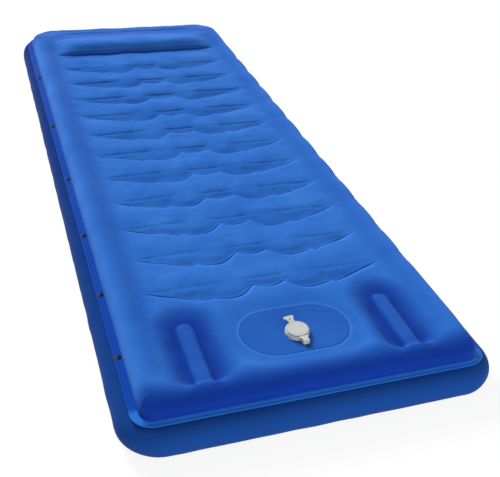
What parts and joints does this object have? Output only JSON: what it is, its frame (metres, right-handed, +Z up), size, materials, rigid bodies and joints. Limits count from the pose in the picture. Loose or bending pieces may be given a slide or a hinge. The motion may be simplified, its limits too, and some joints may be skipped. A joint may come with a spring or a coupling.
{
  "type": "air mattress",
  "caption": "Inflatable camping mattress with wavy welded channels, a raised pillow, snap edges and a foot pump under an oval panel with a two-layer valve.",
  "frame": {"origin": "centre of the floor face that the mattress rests on", "axes": "+X to the edge with the studs, +Y to the pillow, +Z up"},
  "size_m": [0.7198, 1.9198, 0.12],
  "materials": {
    "top_fabric": "satin coated nylon",
    "wall_fabric": "satin coated nylon",
    "welded_edge": "two layers welded flat",
    "inner_film": "bare film",
    "foam": "open-cell foam",
    "valve_plastic": "moulded, light grey",
    "snap_plastic": "moulded, black",
    "flap_rubber": "moulded"
  },
  "bodies": {
    "root": {"top_sheet": "top_fabric", "pump_collar": "top_fabric", "bottom_sheet": "wall_fabric", "pump_skirt": "wall_fabric", "weld_flange": "welded_edge", "wave_web_01": "inner_film", "wave_web_02": "inner_film", "wave_web_03": "inner_film", "wave_web_04": "inner_film", "wave_web_05": "inner_film", "wave_web_06": "inner_film", "wave_web_07": "inner_film", "wave_web_08": "inner_film", "wave_web_09": "inner_film", "wave_web_10": "inner_film", "wave_web_11": "inner_film", "pillow_web": "inner_film", "foot_webs_left": "inner_film", "foot_webs_right": "inner_film", "pump_bladder": "inner_film", "pump_foam": "foam", "check_seat": "valve_plastic", "snap_caps_left": "snap_plastic", "snap_sockets_left": "snap_plastic", "snap_studs_right": "snap_plastic", "snap_backs_right": "snap_plastic"},
    "pump_panel": {"pump_panel": "top_fabric", "valve_seat": "valve_plastic", "plug_strap": "valve_plastic"},
    "deflate_plug": {"deflate_plug": "valve_plastic", "cap_strap": "valve_plastic"},
    "inlet_flap": {"inlet_flap": "flap_rubber"},
    "valve_cap": {"valve_cap": "valve_plastic"},
    "check_flap": {"check_flap": "flap_rubber"}
  },
  "joints": [
    {"name": "pump_press", "type": "slide", "parent": "root", "child": "pump_panel", "axis": [0, 0, -1], "range_m": [0, 0.03], "stiffness_N_per_m": 4000, "springref_m": -0.002, "deforming": ["pump_foam", "pump_skirt"]},
    {"name": "deflate_plug_hinge", "type": "hinge", "parent": "pump_panel", "child": "deflate_plug", "pos_m": [0.00431, -0.8237, 0.09165], "axis": [0.9903, 0.1392, 0], "range_deg": [0, 30], "deforming": ["plug_strap"]},
    {"name": "valve_cap_hinge", "type": "hinge", "parent": "deflate_plug", "child": "valve_cap", "pos_m": [0.00431, -0.8237, 0.09555], "axis": [0.9903, 0.1392, 0], "range_deg": [0, 75], "deforming": ["cap_strap"]},
    {"name": "inlet_flap_hinge", "type": "hinge", "parent": "deflate_plug", "child": "inlet_flap", "pos_m": [0.00167, -0.80488, 0.0816], "axis": [-0.9903, -0.1392, 0], "range_deg": [0, 35], "stiffness_Nm_per_rad": 0.001, "springref_deg": -20.05},
    {"name": "check_flap_hinge", "type": "hinge", "parent": "root", "child": "check_flap", "pos_m": [0, -0.7144, 0.0529], "axis": [1, 0, 0], "range_deg": [0, 40]}
  ]
}
